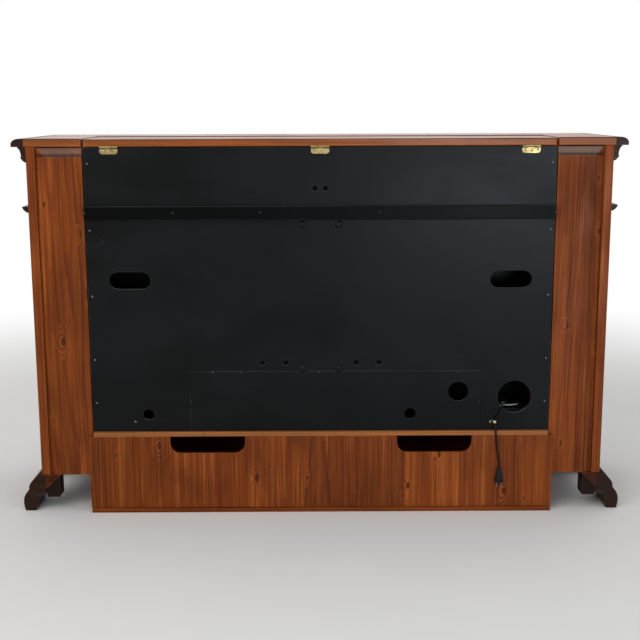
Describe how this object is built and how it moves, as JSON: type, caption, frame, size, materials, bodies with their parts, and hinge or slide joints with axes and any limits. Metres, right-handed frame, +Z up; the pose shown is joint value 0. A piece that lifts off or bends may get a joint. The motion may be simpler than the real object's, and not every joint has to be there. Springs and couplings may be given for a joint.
{
  "type": "tv lift cabinet",
  "caption": "Stained pine TV lift cabinet: a motor lift in a rear well raises a TV as the hinged lid opens; doors in front, bracket feet, lead holes and cord at the back.",
  "frame": {"origin": "centre of the bounding box's bottom, without the cord", "axes": "+X across the cabinet to the right as seen from behind, +Y out of the front, +Z up"},
  "size_m": [1.735, 0.5147, 1.073],
  "materials": {
    "stained_pine": "satin lacquer",
    "dark_stain": "satin lacquer",
    "black_paint": "satin black paint",
    "brass": "polished",
    "steel": "satin",
    "dark_steel": "satin",
    "black_plastic": "matte",
    "cord_sheath": "satin"
  },
  "bodies": {
    "cabinet": {"left_end_panel": "stained_pine", "right_end_panel": "stained_pine", "left_partition": "stained_pine", "right_partition": "stained_pine", "well_floor": "stained_pine", "well_front_panel": "stained_pine", "base_bottom_board": "stained_pine", "base_back_panel": "stained_pine", "left_top_wing": "stained_pine", "right_top_wing": "stained_pine", "front_top_board": "stained_pine", "left_back_panel": "stained_pine", "right_back_panel": "stained_pine", "face_frame": "stained_pine", "left_front_panel": "stained_pine", "right_front_panel": "stained_pine", "left_foot_brace": "stained_pine", "right_foot_brace": "stained_pine", "top_nosing": "dark_stain", "cornice_moulding": "dark_stain", "waist_moulding": "dark_stain", "rear_left_foot": "dark_stain", "rear_right_foot": "dark_stain", "front_left_foot": "dark_stain", "front_right_foot": "dark_stain", "upper_back_panel": "black_paint", "main_back_panel": "black_paint", "back_rail": "black_paint", "access_cover": "black_paint", "left_hinge_lower_leaf": "brass", "centre_hinge_lower_leaf": "brass", "right_hinge_lower_leaf": "brass", "left_door_hinge": "brass", "right_door_hinge": "brass", "lift_column": "steel", "lift_bolt_upper_left": "steel", "lift_bolt_upper_right": "steel", "lift_bolt_lower_left": "steel", "lift_bolt_lower_right": "steel", "actuator_housing": "dark_steel", "control_box": "black_plastic", "plug": "black_plastic", "cord_clip": "black_plastic", "power_cord": "cord_sheath", "power_cord_coil": "cord_sheath"},
    "middle_stage": {"lift_middle_frame": "steel", "actuator_rod": "steel"},
    "carriage_stage": {"lift_carriage": "steel", "left_tv_arm": "steel", "right_tv_arm": "steel"},
    "lid_assembly": {"lid": "stained_pine", "left_hinge_upper_leaf": "brass", "centre_hinge_upper_leaf": "brass", "right_hinge_upper_leaf": "brass"},
    "left_door": {"left_door_frame": "stained_pine", "left_door_panel": "stained_pine", "left_door_knob": "brass"},
    "right_door": {"right_door_frame": "stained_pine", "right_door_panel": "stained_pine", "right_door_knob": "brass"}
  },
  "joints": [
    {"name": "lift_first_stage", "type": "slide", "parent": "cabinet", "child": "middle_stage", "axis": [0, 0, 1], "range_m": [0, 0.33]},
    {"name": "lift_second_stage", "type": "slide", "parent": "middle_stage", "child": "carriage_stage", "axis": [0, 0, 1], "range_m": [0, 0.33]},
    {"name": "lid_hinge", "type": "hinge", "parent": "cabinet", "child": "lid_assembly", "pos_m": [0, -0.2362, 1.0493], "axis": [1, 0, 0], "range_deg": [0, 100]},
    {"name": "left_door_hinge_joint", "type": "hinge", "parent": "cabinet", "child": "left_door", "pos_m": [-0.634, 0.2009, 0.4405], "axis": [0, 0, 1], "range_deg": [0, 110]},
    {"name": "right_door_hinge_joint", "type": "hinge", "parent": "cabinet", "child": "right_door", "pos_m": [0.634, 0.2009, 0.4405], "axis": [0, 0, -1], "range_deg": [0, 110]}
  ],
  "couplings": [
    {"joint": "lift_second_stage", "follows": "lift_first_stage", "ratio": 1},
    {"joint": "lid_hinge", "follows": "lift_first_stage", "rad_per_m": 5.288}
  ]
}
